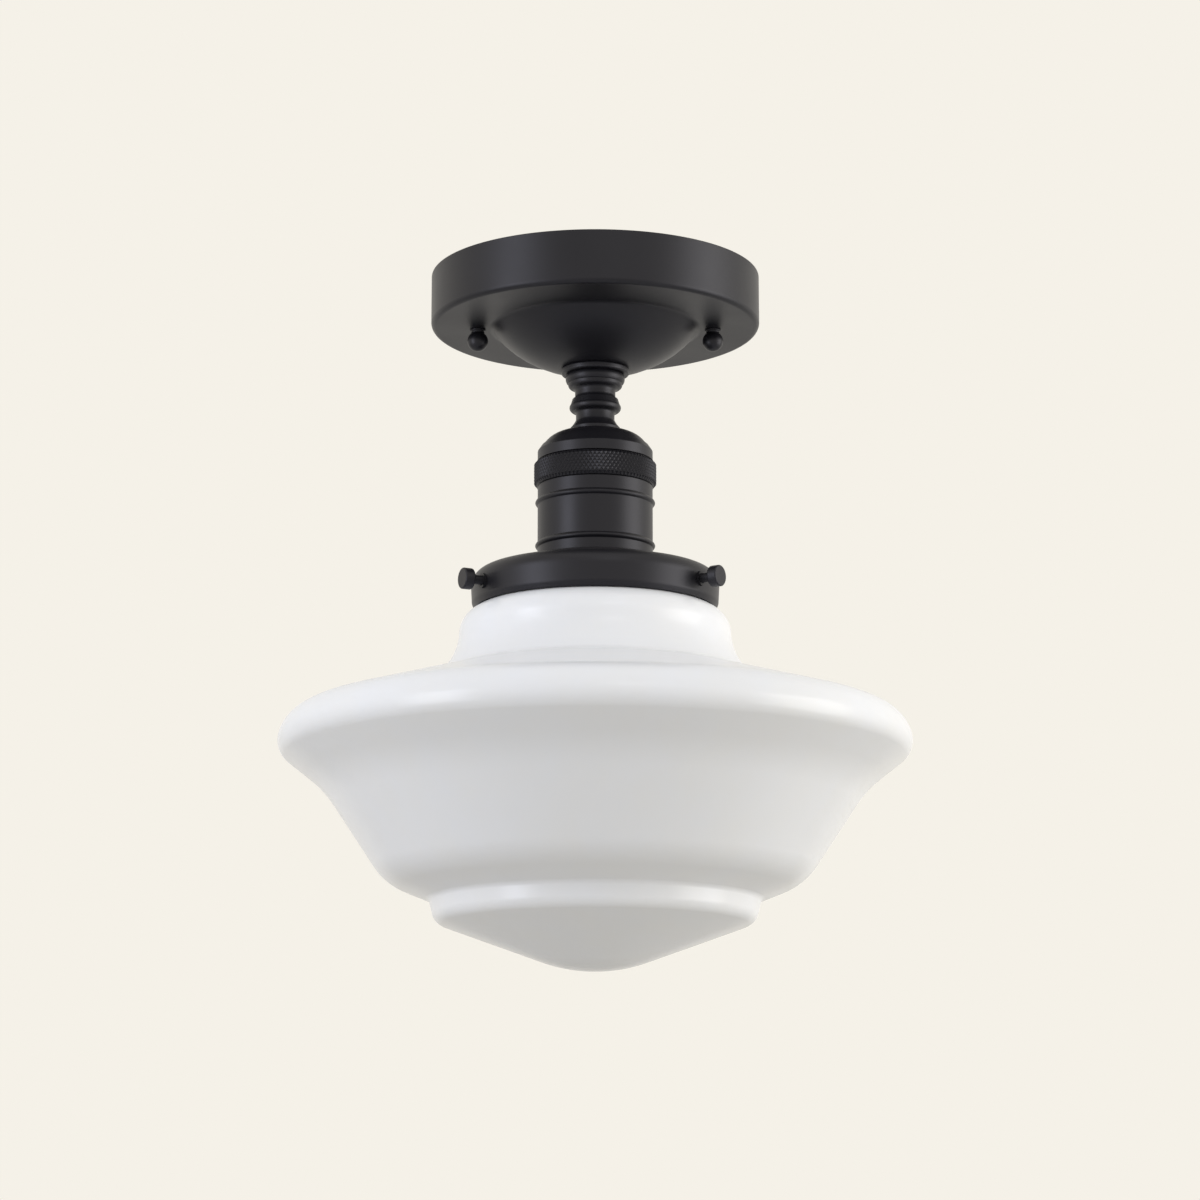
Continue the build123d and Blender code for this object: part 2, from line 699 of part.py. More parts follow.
with BuildPart() as shade:
    with BuildSketch(Plane.XZ):
        with BuildLine():
            outline = FilletPolyline(
                *shade_corners,
                radius=rounding_that_fits(shade_corners, shade_roundings),
            )
            Polyline(outline @ 1, (0, lip_top_z), outline @ 0)
        make_face()
    revolve(axis=Axis.Z)
    offset(amount=-shade_wall, openings=shade.faces().sort_by(Axis.Z)[-1])
shade.part.label = "shade"
export_step(shade.part, "parts/shade.step")

# ================================================================ socket hub and its screws
with BuildPart() as socket_hub:
    tube(hub_radius, tube_radius + thread_gap, hub_top_z, body_top_z)
    tube(hub_flange_radius, tube_radius + thread_gap, body_top_z + hub_flange_height, body_top_z)
    with BuildSketch(Plane.XY.offset(body_top_z)):
        with Locations((0, hub_screw_reach), (0, -hub_screw_reach)):
            Circle(hub_screw_shank / 2 + slip_gap)
    extrude(amount=hub_flange_height, mode=Mode.SUBTRACT)
socket_hub.part.label = "socket_hub"
export_step(socket_hub.part, "parts/socket_hub.step")

hub_screw_seat_z = body_top_z + hub_flange_height
with BuildPart() as hub_screws:
    for side in (1, -1):
        with BuildSketch(Plane.XY.offset(hub_screw_seat_z)):
            with Locations((0, side * hub_screw_reach)):
                Circle(hub_screw_head / 2)
        extrude(amount=hub_screw_head_height)
        with BuildSketch(Plane.XY.offset(hub_screw_seat_z)):
            with Locations((0, side * hub_screw_reach)):
                Circle(hub_screw_shank / 2)
        extrude(amount=-hub_screw_length)
hub_screws.part.label = "hub_screws"
export_step(hub_screws.part, "parts/hub_screws.step")

# ================================================================ porcelain socket body
shell_top_z = body_top_z - body_neck_height
shell_mouth_z = shell_top_z - shell_height
body_radius = min(spigot_bore, sleeve_radius - sleeve_wall) - body_clearance
terminal_z = body_top_z - terminal_drop
with BuildPart() as socket_body:
    with BuildSketch(Plane.XZ):
        with BuildLine():
            Polyline(
                (0, body_top_z),
                (body_neck_radius, body_top_z),
                (body_neck_radius, shell_top_z),
                (body_radius, shell_top_z),
                (body_radius, shell_mouth_z - body_rim),
                (shell_radius, shell_mouth_z - body_rim),
                (shell_radius, shell_top_z),
                (0, shell_top_z),
                close=True,
            )
        make_face()
    revolve(axis=Axis.Z)
    with BuildSketch(Plane.XY.offset(body_top_z)):
        Circle(tube_radius + travel_gap)
        with Locations((0, hub_screw_reach), (0, -hub_screw_reach)):
            Circle(hub_screw_shank / 2)
    extrude(amount=-hub_screw_length, mode=Mode.SUBTRACT)
    for side in (1, -1):
        with BuildSketch(Plane.YZ.offset(side * body_neck_radius)):
            with Locations((0, terminal_z)):
                Circle(terminal_shank / 2)
        extrude(amount=-side * terminal_length, mode=Mode.SUBTRACT)
socket_body.part.label = "socket_body"
export_step(socket_body.part, "parts/socket_body.step")

# ================================================================ terminal screws
for side, name in ((1, "terminal_screw_live"), (-1, "terminal_screw_neutral")):
    with BuildPart() as terminal_screw:
        with BuildSketch(Plane.YZ.offset(side * body_neck_radius)):
            with Locations((0, terminal_z)):
                Circle(terminal_head / 2)
        extrude(amount=side * terminal_head_height)
        with BuildSketch(Plane.YZ.offset(side * (body_neck_radius + terminal_head_height))):
            with Locations((0, terminal_z)):
                Rectangle(terminal_head * 2, driver_slot_width)
        extrude(amount=-side * driver_slot_depth, mode=Mode.SUBTRACT)
        with BuildSketch(Plane.YZ.offset(side * body_neck_radius)):
            with Locations((0, terminal_z)):
                Circle(terminal_shank / 2)
        extrude(amount=-side * terminal_length)
    terminal_screw.part.label = name
    export_step(terminal_screw.part, f"parts/{name}.step")

# ================================================================ screw shell
with BuildPart() as screw_shell:
    tube(shell_radius, shell_bore, shell_top_z, shell_mouth_z)
    tube(shell_radius, contact_width, shell_top_z, shell_top_z - shell_thickness)
screw_shell.part.label = "screw_shell"
export_step(screw_shell.part, "parts/screw_shell.step")

# ================================================================ centre contact
# A folded strip: flat on the porcelain, then a fold and a tongue towards the lamp.
contact_bottom_z = shell_top_z - contact_fold
contact_left = -contact_reach / 2
with BuildPart() as centre_contact:
    with BuildSketch(Plane.XZ.offset(-contact_width / 2)):
        with BuildLine():
            strip = FilletPolyline(
                (contact_left + contact_reach, shell_top_z),
                (contact_left, shell_top_z),
                (contact_left, contact_bottom_z),
                (contact_left + contact_tongue, contact_bottom_z),
                radius=contact_thickness * 1.2,
            )
            offset(amount=contact_thickness, side=Side.LEFT)
        make_face()
    extrude(amount=contact_width)
centre_contact.part.label = "centre_contact"
export_step(centre_contact.part, "parts/centre_contact.step")

# ================================================================ lamp
lamp_top_z = contact_bottom_z - travel_gap
crown_top_z = lamp_top_z - lamp_button_height
lamp_cap_top_z = crown_top_z - lamp_crown_height
lamp_cap_foot_z = lamp_cap_top_z - lamp_cap_height
lamp_bottom_z = lamp_top_z - lamp_length
ball_z = lamp_bottom_z + lamp_radius

with BuildPart() as lamp_button:
    with BuildSketch(Plane.XY.offset(crown_top_z)):
        Circle(lamp_button_radius)
    extrude(amount=lamp_button_height)
    fillet(lamp_button.edges().group_by(Axis.Z)[-1], radius=lamp_button_height * 0.6)
lamp_button.part.label = "lamp_button"
export_step(lamp_button.part, "parts/lamp_button.step")

with BuildPart() as lamp_crown:
    with BuildSketch(Plane.XZ):
        with BuildLine():
            Polyline(
                (0, crown_top_z),
                (lamp_crown_radius, crown_top_z),
                (lamp_cap_radius - lamp_cap_wall, lamp_cap_top_z),
                (0, lamp_cap_top_z),
                close=True,
            )
        make_face()
    revolve(axis=Axis.Z)
lamp_crown.part.label = "lamp_crown"
export_step(lamp_crown.part, "parts/lamp_crown.step")

with BuildPart() as lamp_screw_cap:
    tube(lamp_cap_radius, lamp_cap_radius - lamp_cap_wall, lamp_cap_top_z, lamp_cap_foot_z)
    tube(lamp_cap_radius, lamp_crown_radius, lamp_cap_top_z, lamp_cap_top_z - lamp_cap_wall)
lamp_screw_cap.part.label = "lamp_screw_cap"
export_step(lamp_screw_cap.part, "parts/lamp_screw_cap.step")

# The envelope is a thin shell, open where the screw cap covers it. An arc that starts
# along the neck widens it until it touches the ball.
lamp_neck_radius = lamp_cap_radius - lamp_cap_wall
neck_foot_z = lamp_cap_foot_z - lamp_neck_straight
neck_rise = neck_foot_z - ball_z
neck_arc_radius = (
    (lamp_neck_radius ** 2 + neck_rise ** 2 - lamp_radius ** 2) / 2 / (lamp_radius - lamp_neck_radius)
)
ball_share = lamp_radius / (lamp_radius + neck_arc_radius)
join_radius = ball_share * (lamp_neck_radius + neck_arc_radius)
join_z = ball_z + ball_share * neck_rise
with BuildPart() as lamp_envelope:
    with BuildSketch(Plane.XZ):
        with BuildLine():
            Line(
                (lamp_neck_radius, lamp_cap_foot_z + lamp_cap_height / 2),
                (lamp_neck_radius, neck_foot_z),
            )
            TangentArc((lamp_neck_radius, neck_foot_z), (join_radius, join_z), tangent=(0, -1))
            ThreePointArc((join_radius, join_z), (lamp_radius, ball_z), (0, lamp_bottom_z))
            offset(amount=lamp_glass, side=Side.RIGHT)
        make_face()
    revolve(axis=Axis.Z)
lamp_envelope.part.label = "lamp_envelope"
export_step(lamp_envelope.part, "parts/lamp_envelope.step")
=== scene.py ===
import json
import math
import bmesh
import bpy
from mathutils import Matrix, Vector


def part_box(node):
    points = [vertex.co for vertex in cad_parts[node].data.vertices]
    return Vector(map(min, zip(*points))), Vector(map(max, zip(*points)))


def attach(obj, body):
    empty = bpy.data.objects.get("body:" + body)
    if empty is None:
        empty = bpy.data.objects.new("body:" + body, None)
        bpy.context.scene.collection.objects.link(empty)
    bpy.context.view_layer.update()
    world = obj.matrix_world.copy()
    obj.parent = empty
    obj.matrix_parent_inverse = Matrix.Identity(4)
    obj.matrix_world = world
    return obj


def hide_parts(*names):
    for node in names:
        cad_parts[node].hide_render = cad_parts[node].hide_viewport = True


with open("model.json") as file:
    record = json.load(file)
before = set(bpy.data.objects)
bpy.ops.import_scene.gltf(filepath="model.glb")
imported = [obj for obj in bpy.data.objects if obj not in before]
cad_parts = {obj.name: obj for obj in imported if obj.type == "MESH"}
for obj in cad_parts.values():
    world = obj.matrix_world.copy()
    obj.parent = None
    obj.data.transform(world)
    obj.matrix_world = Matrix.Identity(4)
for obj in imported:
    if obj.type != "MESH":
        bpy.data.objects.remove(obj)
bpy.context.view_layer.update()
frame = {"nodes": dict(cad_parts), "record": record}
nodes = frame["nodes"]
mm = 0.001
lightAxis = Vector((0, 0, 1))
print("frame loaded:", len(nodes), "nodes")


def topOf(node):
    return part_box(node)[1].z / mm


def footOf(node):
    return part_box(node)[0].z / mm


def radiusOf(node):
    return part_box(node)[1].x / mm


# Shader nodes written as plain arithmetic

class Signal:
    def __init__(self, tree, socket):
        self.tree = tree
        self.socket = socket

    def joined(self, operation, first, second):
        return self.tree.add("ShaderNodeMath", {"operation": operation}, {0: first, 1: second})

    def __add__(self, other):
        return self.joined("ADD", self, other)

    def __radd__(self, other):
        return self.joined("ADD", other, self)

    def __sub__(self, other):
        return self.joined("SUBTRACT", self, other)

    def __rsub__(self, other):
        return self.joined("SUBTRACT", other, self)

    def __mul__(self, other):
        return self.joined("MULTIPLY", self, other)

    def __rmul__(self, other):
        return self.joined("MULTIPLY", other, self)


class NodeTree:
    def __init__(self, owner):
        owner.use_nodes = True
        self.nodes = owner.node_tree.nodes
        self.links = owner.node_tree.links
        self.nodes.clear()

    def add(self, kind, settings, inputs, output=0):
        node = self.nodes.new(kind)
        for name, setting in settings.items():
            if name == "stops":
                self.setStops(node.color_ramp.elements, setting)
            else:
                setattr(node, name, setting)
        for name, value in inputs.items():
            if isinstance(value, Signal):
                self.links.new(value.socket, node.inputs[name])
            else:
                node.inputs[name].default_value = value
        return Signal(self, node.outputs[output]) if node.outputs else None

    def setStops(self, elements, stops):
        while len(elements) < len(stops):
            elements.new(0.5)
        for element, (position, colour) in zip(elements, stops):
            element.position = position
            element.color = colour

    def noise(self, scale, detail=2.0, stretch=(1, 1, 1)):
        place = self.add("ShaderNodeTexCoord", {}, {}, "Object")
        place = self.add("ShaderNodeMapping", {}, {"Vector": place, "Scale": stretch})
        return self.add("ShaderNodeTexNoise", {}, {"Vector": place, "Scale": scale, "Detail": detail})

    def mixColour(self, amount, first, second):
        return self.add("ShaderNodeMix", {"data_type": "RGBA"}, {0: amount, 6: first, 7: second}, 2)

    def bump(self, height, distance, strength):
        return self.add("ShaderNodeBump", {}, {"Height": height, "Distance": distance, "Strength": strength})


def finish(name, inputs):
    # inputs is a function that is given the new tree and returns the sockets of the surface
    material = bpy.data.materials.new(name)
    tree = NodeTree(material)
    shader = tree.add("ShaderNodeBsdfPrincipled", {}, inputs(tree))
    tree.add("ShaderNodeOutputMaterial", {}, {"Surface": shader})
    return material


powder = {
    "dark": (0.0052, 0.0050, 0.0066, 1),
    "pale": (0.0086, 0.0083, 0.0108, 1),
    "sheen": (0.93, 0.92, 1.0, 1),
    "roughness": 0.42,
    "grain": 3200,          # per metre, the fine orange peel of a powder coat
    "grainDepth": 0.00002,
}


def powderCoat(tree):
    cloud = tree.noise(38, 3)
    grain = tree.noise(powder["grain"], 2)
    return {
        "Base Color": tree.mixColour(cloud, powder["dark"], powder["pale"]),
        "Roughness": powder["roughness"] + 0.12 * (cloud - 0.5) + 0.05 * (grain - 0.5),
        "Specular IOR Level": 0.36,
        "Specular Tint": powder["sheen"],
        "Normal": tree.bump(grain, powder["grainDepth"], 0.5),
    }


opal = {
    "cool": (0.825, 0.83, 0.85, 1),
    "warm": (0.83, 0.82, 0.80, 1),
    "roughness": 0.25,
    "wave": 16,             # per metre, the slow waviness of blown glass
    "waveDepth": 0.0006,
}


def opalGlass(tree):
    wave = tree.noise(opal["wave"], 1.5)
    cloud = tree.noise(60, 4, (1, 1, 0.4))
    return {
        "Base Color": tree.mixColour(cloud, opal["cool"], opal["warm"]),
        "Roughness": opal["roughness"] + 0.03 * (cloud - 0.5),
        "Specular IOR Level": 0.36,
        "Subsurface Weight": 0.25,
        "Subsurface Radius": (1.0, 0.95, 0.9),
        "Subsurface Scale": 0.006,
        "Normal": tree.bump(wave, opal["waveDepth"], 0.35),
    }


def zincPlate(tree):
    spangle = tree.noise(420, 3)
    brushed = tree.noise(900, 2, (1, 0.08, 1))
    return {
        "Base Color": tree.mixColour(spangle, (0.50, 0.51, 0.52, 1), (0.72, 0.72, 0.70, 1)),
        "Metallic": 1.0,
        "Roughness": 0.28 + 0.22 * spangle,
        "Normal": tree.bump(brushed, 0.00004, 0.4),
    }


def nickelPlate(tree):
    cloud = tree.noise(300, 3)
    return {
        "Base Color": tree.mixColour(cloud, (0.62, 0.58, 0.52, 1), (0.78, 0.74, 0.68, 1)),
        "Metallic": 1.0,
        "Roughness": 0.18 + 0.15 * cloud,
        "Normal": tree.bump(tree.noise(1500, 2), 0.00002, 0.3),
    }


def turnedBrass(tree):
    cloud = tree.noise(240, 3)
    rings = tree.noise(2600, 1, (0.02, 0.02, 1))
    return {
        "Base Color": tree.mixColour(cloud, (0.62, 0.42, 0.16, 1), (0.83, 0.63, 0.30, 1)),
        "Metallic": 1.0,
        "Roughness": 0.20 + 0.16 * cloud,
        "Normal": tree.bump(rings, 0.00002, 0.4),
    }


def groundGreen(tree):
    cloud = tree.noise(500, 3)
    return {
        "Base Color": tree.mixColour(cloud, (0.02, 0.16, 0.05, 1), (0.07, 0.36, 0.13, 1)),
        "Metallic": 0.6,
        "Roughness": 0.30 + 0.15 * cloud,
        "Normal": tree.bump(tree.noise(1800, 2), 0.00002, 0.3),
    }


def porcelain(tree):
    cloud = tree.noise(180, 3)
    return {
        "Base Color": tree.mixColour(cloud, (0.78, 0.76, 0.70, 1), (0.88, 0.86, 0.81, 1)),
        "Roughness": 0.16 + 0.10 * cloud,
        "Coat Weight": 0.5,
        "Normal": tree.bump(tree.noise(700, 2), 0.00004, 0.3),
    }


def frostedLamp(tree):
    cloud = tree.noise(120, 3)
    return {
        "Base Color": tree.mixColour(cloud, (0.84, 0.83, 0.80, 1), (0.90, 0.89, 0.87, 1)),
        "Roughness": 0.32 + 0.10 * cloud,
        "Subsurface Weight": 0.2,
        "Subsurface Scale": 0.003,
        "Normal": tree.bump(tree.noise(2600, 2), 0.00001, 0.3),
    }


def capAluminium(tree):
    cloud = tree.noise(260, 3)
    return {
        "Base Color": tree.mixColour(cloud, (0.68, 0.68, 0.69, 1), (0.84, 0.84, 0.84, 1)),
        "Metallic": 1.0,
        "Roughness": 0.22 + 0.18 * cloud,
        "Normal": tree.bump(tree.noise(1600, 2), 0.00002, 0.3),
    }


def blackVitrite(tree):
    cloud = tree.noise(400, 2)
    return {
        "Base Color": tree.mixColour(cloud, (0.006, 0.006, 0.010, 1), (0.02, 0.02, 0.03, 1)),
        "Roughness": 0.08 + 0.08 * cloud,
        "Normal": tree.bump(cloud, 0.0001, 0.3),
    }


def dullSolder(tree):
    cloud = tree.noise(700, 4)
    return {
        "Base Color": tree.mixColour(cloud, (0.36, 0.36, 0.37, 1), (0.60, 0.60, 0.59, 1)),
        "Metallic": 1.0,
        "Roughness": 0.38 + 0.25 * cloud,
        "Normal": tree.bump(cloud, 0.00015, 0.4),
    }


finishes = {
    "black_powder_coat": finish("blackPowderCoat", powderCoat),
    "opal_glass": finish("opalGlass", opalGlass),
    "zinc_steel": finish("zincPlatedSteel", zincPlate),
    "nickel": finish("nickelPlate", nickelPlate),
    "brass": finish("turnedBrass", turnedBrass),
    "green_screw": finish("greenGroundScrew", groundGreen),
    "porcelain": finish("glazedPorcelain", porcelain),
    "lamp_glass": finish("frostedLampGlass", frostedLamp),
    "lamp_metal": finish("lampCapAluminium", capAluminium),
    "lamp_insulator": finish("blackVitrite", blackVitrite),
    "solder": finish("dullSolder", dullSolder),
}
slotOf = {part["node"]: part["material_slot"] for part in frame["record"]["subparts"]}
bodies = frame["record"]["behaviour"]["bodies"]
bodyOf = {member: body for body, members in bodies.items() for member in members}
for name, node in nodes.items():
    node.data.materials.clear()
    node.data.materials.append(finishes[slotOf[name]])
    node.data.shade_smooth()
    node.data.set_sharp_from_angle(angle=math.radians(35))
print("materials ready:", len(finishes))


# Turned and spun pieces: a lathe draws half a section with cuts and arcs, in mm, and turns it round the axis

class Lathe:
    def __init__(self, radius, height, fineness=6.0):
        # fineness is the most, in degrees, that one short cut of an arc turns
        self.shape = bmesh.new()
        self.tip = self.shape.verts.new((radius * mm, 0, height * mm))
        self.start = self.tip
        self.fineness = math.radians(fineness)

    def cut(self, radius, height):
        grown = bmesh.ops.extrude_vert_indiv(self.shape, verts=[self.tip])
        self.tip = grown["verts"][0]
        self.tip.co = (radius * mm, 0, height * mm)

    def arc(self, radius, height, turn):
        # turn in degrees, clockwise: on the way down the outside, above 0 is proud and below 0 hollow
        start = self.tip.co.copy()
        end = Vector((radius * mm, 0, height * mm))
        chord = end - start
        swing = math.radians(turn)
        outward = Vector((-chord.z, 0, chord.x)).normalized()
        centre = (start + end) / 2 - outward * chord.length / 2 / math.tan(swing / 2)
        steps = max(2, math.ceil(abs(swing) / self.fineness))
        swung = bmesh.ops.spin(self.shape, geom=[self.tip], cent=centre, axis=(0, 1, 0), dvec=(0, 0, 0),
                               angle=swing, steps=steps, use_duplicate=False)
        self.tip = [part for part in swung["geom_last"] if isinstance(part, bmesh.types.BMVert)][0]

    def leaving(self, radius, height, heading):
        # an arc that sets off along a heading, in degrees: 0 outward, -90 down
        chord = Vector((radius - self.tip.co.x / mm, height - self.tip.co.z / mm))
        slope = math.degrees(math.atan2(chord.y, chord.x))
        self.arc(radius, height, 2 * wrapped(heading - slope))

    def arriving(self, radius, height, heading):
        chord = Vector((radius - self.tip.co.x / mm, height - self.tip.co.z / mm))
        slope = math.degrees(math.atan2(chord.y, chord.x))
        self.arc(radius, height, 2 * wrapped(slope - heading))

    def rounded(self, corners):
        # straight cuts to each (radius, height, round), where round is the arc's radius at that corner
        for place, (radius, height, curve) in enumerate(corners):
            if not curve:
                self.cut(radius, height)
                continue
            here = Vector((radius, height))
            before = here - Vector((self.tip.co.x, self.tip.co.z)) / mm
            after = Vector(corners[place + 1][:2]) - here
            turn = before.angle_signed(after)
            back = curve * math.tan(abs(turn) / 2)
            first = here - before.normalized() * back
            last = here + after.normalized() * back
            self.cut(first.x, first.y)
            self.arc(last.x, last.y, math.degrees(turn))

    def turned(self, steps, closed=True):
        shape = self.shape
        if closed:
            shape.edges.new((self.tip, self.start))
        bmesh.ops.spin(shape, geom=shape.verts[:] + shape.edges[:], cent=(0, 0, 0), axis=lightAxis,
                       dvec=(0, 0, 0), angle=math.tau, steps=steps, use_merge=True, use_duplicate=False)
        bmesh.ops.remove_doubles(shape, verts=shape.verts, dist=0.001 * mm)
        bmesh.ops.recalc_face_normals(shape, faces=shape.faces)
        return shape


def wrapped(angle):
    return (angle + 180) % 360 - 180


def walled(shape, wall):
    # gives an open outer skin its thickness inwards
    bmesh.ops.solidify(shape, geom=shape.faces[:], thickness=wall * mm)
    bmesh.ops.recalc_face_normals(shape, faces=shape.faces)
    return shape


def softened(shape, width, segments=2, sharper=38):
    # rounds the edges that turn more than so many degrees
    sharp = [edge for edge in shape.edges if edge.calc_face_angle(0) > math.radians(sharper)]
    bmesh.ops.bevel(shape, geom=sharp, offset=width * mm, offset_type="OFFSET", affect="EDGES",
                    segments=segments, profile=0.5, material=-1, clamp_overlap=True)
    return shape


def piece(shape, name, *stoodFor):
    # the finished piece takes its body and its finish from the CAD node it stands for
    node = stoodFor[0]
    mesh = bpy.data.meshes.new(name)
    shape.to_mesh(mesh)
    shape.free()
    mesh.shade_smooth()
    made = bpy.data.objects.new(name, mesh)
    bpy.context.scene.collection.objects.link(made)
    mesh.materials.append(finishes[slotOf[node]])
    made.modifiers.new("weighted", "WEIGHTED_NORMAL")
    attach(made, bodyOf[node])
    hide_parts(*stoodFor)
    return made


# Canopy and its knobs

canopy = {
    "radius": radiusOf("canopy"),
    "underside": topOf("canopy_knob_left"),
    "floor": footOf("canopy"),
    "wall": 1.2,
    "edge": 2.0,
    "domeRadius": 39.0,
    "domeSlope": 49.7,     # degrees, where the dome leaves the underside
    "domeBlend": 3.0,      # radius of the hollow corner at the dome's foot
    "seatRadius": 12.8,
    "bore": 5.0,
    "cutEdge": 0.3,
    "facets": 216,
}


def makeCanopy():
    c = canopy
    slope = math.radians(c["domeSlope"])
    start = c["domeRadius"] + c["domeBlend"] * math.tan(slope / 2)
    lathe = Lathe(c["radius"], 0)
    lathe.rounded([
        (c["radius"], c["underside"], c["edge"]),
        (start, c["underside"], 0),
    ])
    blendWidth = c["domeBlend"] * math.sin(slope)
    blendDrop = c["domeBlend"] * (1 - math.cos(slope))
    lathe.arc(start - blendWidth, c["underside"] - blendDrop, -c["domeSlope"])
    lathe.leaving(c["seatRadius"], c["floor"], 180 + c["domeSlope"])
    lathe.cut(c["bore"], c["floor"])
    shape = softened(walled(lathe.turned(c["facets"], closed=False), c["wall"]), c["cutEdge"])
    piece(shape, "canopyPan", "canopy")


makeCanopy()

collar = {"radius": 12.8, "bore": 5.0, "edge": 0.8, "facets": 96}


def makeCollar():
    c, high, low = collar, topOf("canopy_collar"), footOf("canopy_collar")
    lathe = Lathe(c["bore"], high)
    lathe.rounded([
        (c["radius"], high, c["edge"]),
        (c["radius"], low, c["edge"]),
        (c["bore"], low, 0),
    ])
    piece(lathe.turned(c["facets"]), "canopyCollar", "canopy_collar")


makeCollar()

knob = {
    "ball": 7.8,           # across the ball
    "flange": 3.0, "flangeHeight": 0.7, "flangeEdges": (0.2, 0.35),
    "neck": 2.5,
    "bore": 2.2, "depth": 5.4,
    "facets": 48,
}


def makeKnob(node):
    k, high, low = knob, topOf(node), footOf(node)
    ball = k["ball"] / 2
    middle = low + ball
    meet = middle + math.sqrt(ball ** 2 - k["neck"] ** 2)
    lathe = Lathe(k["bore"], high)
    lathe.rounded([
        (k["flange"], high, k["flangeEdges"][0]),
        (k["flange"], high - k["flangeHeight"], k["flangeEdges"][1]),
        (k["neck"], high - k["flangeHeight"], 0),
        (k["neck"], meet, 0),
    ])
    lathe.arc(0, low, 180 - math.degrees(math.asin(k["neck"] / ball)))
    lathe.cut(0, high - k["depth"])
    lathe.cut(k["bore"], high - k["depth"])
    shape = lathe.turned(k["facets"])
    low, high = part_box(node)
    bmesh.ops.translate(shape, verts=shape.verts, vec=((low.x + high.x) / 2, 0, 0))
    piece(shape, node.replace("canopy_knob", "ballNut"), node)


for side in ("left", "right"):
    makeKnob(f"canopy_knob_{side}")
print("canopy, collar and knobs made")


# Turned stem

stem = {
    "bore": 5.0,
    "bead": 11.15, "beadLip": 10.5, "beadHeight": 3.4,
    "ovolo": 10.2, "ovoloLand": 0.5, "ovoloHeight": 3.4,
    "waist": 7.6, "waistHeight": 1.3,
    "cove": 8.4, "coveHeight": 1.4, "ringStep": 0.2,
    "swellFlank": 9.25, "flankRise": 2.2,
    "swell": 9.7, "swellRise": 3.3,
    "shoulderFall": 1.62, "swellFall": 2.7,
    "shaft": 7.26, "shaftHeight": 2.2,
    "foot": 9.5, "flareSlope": 65, "footHeight": 1.8,
    "cutEdge": 0.12,
    "facets": 120,
}


def makeStem():
    s, high, low = stem, topOf("turned_stem"), footOf("turned_stem")
    lathe = Lathe(s["bore"], high)

    def ogee(midRadius, midHeight, radius, height):
        # a round shoulder that runs out in a hollow
        lathe.leaving(midRadius, midHeight, -90)
        lathe.arriving(radius, height, -90)

    lathe.cut(s["beadLip"], high)
    level = high - s["beadHeight"]
    beadTurn = 4 * math.atan2(2 * (s["bead"] - s["beadLip"]), s["beadHeight"])
    lathe.arc(s["beadLip"], level, math.degrees(beadTurn))
    lathe.cut(s["ovolo"], level)
    lathe.cut(s["ovolo"], level - s["ovoloLand"])
    ogee((s["ovolo"] + s["waist"]) / 2, level - (s["ovoloLand"] + s["ovoloHeight"]) / 2,
         s["waist"], level - s["ovoloHeight"])
    level -= s["ovoloHeight"] + s["waistHeight"]
    lathe.cut(s["waist"], level)
    level -= s["coveHeight"]
    lathe.leaving(s["cove"], level, -90)
    lathe.cut(s["cove"] + s["ringStep"], level)
    level -= s["swellRise"]
    lathe.cut(s["swellFlank"], level + s["swellRise"] - s["flankRise"])
    lathe.arriving(s["swell"], level, -90)
    ogee((s["swell"] + s["shaft"]) / 2, level - s["shoulderFall"], s["shaft"], level - s["swellFall"])
    level -= s["swellFall"] + s["shaftHeight"]
    lathe.cut(s["shaft"], level)
    lathe.leaving(s["foot"], low + s["footHeight"], -s["flareSlope"])
    lathe.cut(s["foot"], low)
    lathe.cut(s["bore"], low)
    piece(softened(lathe.turned(s["facets"]), s["cutEdge"]), "turnedStem", "turned_stem")


makeStem()
print("stem made")


# Socket cap, knurled ring and sleeve

cap = {
    "bore": 5.0,
    "flat": 10.8,
    "dome": 19.7, "domeRound": 10.3,
    "step": 0.45,          # shelf between dome and band
    "chamfer": 2.1, "chamferRound": 0.6,
    "wall": 1.0,
    "cutEdge": 0.15,
    "facets": 144,
}


def makeCap():
    c, high, low, edge = cap, topOf("socket_cap"), footOf("socket_cap"), radiusOf("socket_cap")
    turn = math.asin((c["dome"] - c["flat"]) / c["domeRound"])
    stepHeight = high - c["domeRound"] * (1 - math.cos(turn))
    lathe = Lathe(c["bore"], high)
    lathe.cut(c["flat"], high)
    lathe.leaving(c["dome"], stepHeight, 0)
    lathe.cut(c["dome"] + c["step"], stepHeight)
    lathe.rounded([
        (edge, stepHeight - c["chamfer"], c["chamferRound"]),
        (edge, low, 0),
    ])
    shape = walled(lathe.turned(c["facets"], closed=False), c["wall"])
    piece(softened(shape, c["cutEdge"]), "socketCap", "socket_cap")


makeCap()

knurl = {
    "round": 92, "rows": 4,           # diamonds round the ring and rows of them
    "depth": 0.45,
    "land": 0.3, "landInset": 0.2, "rootInset": 0.4,
    "lean": 1.2, "leanHeight": 1.7,   # both edges of the band lean in
    "thickness": 2.1,                 # line of the sleeve to the bore
    "mergeDistance": 0.02,
    "sharpAngle": 15,
}


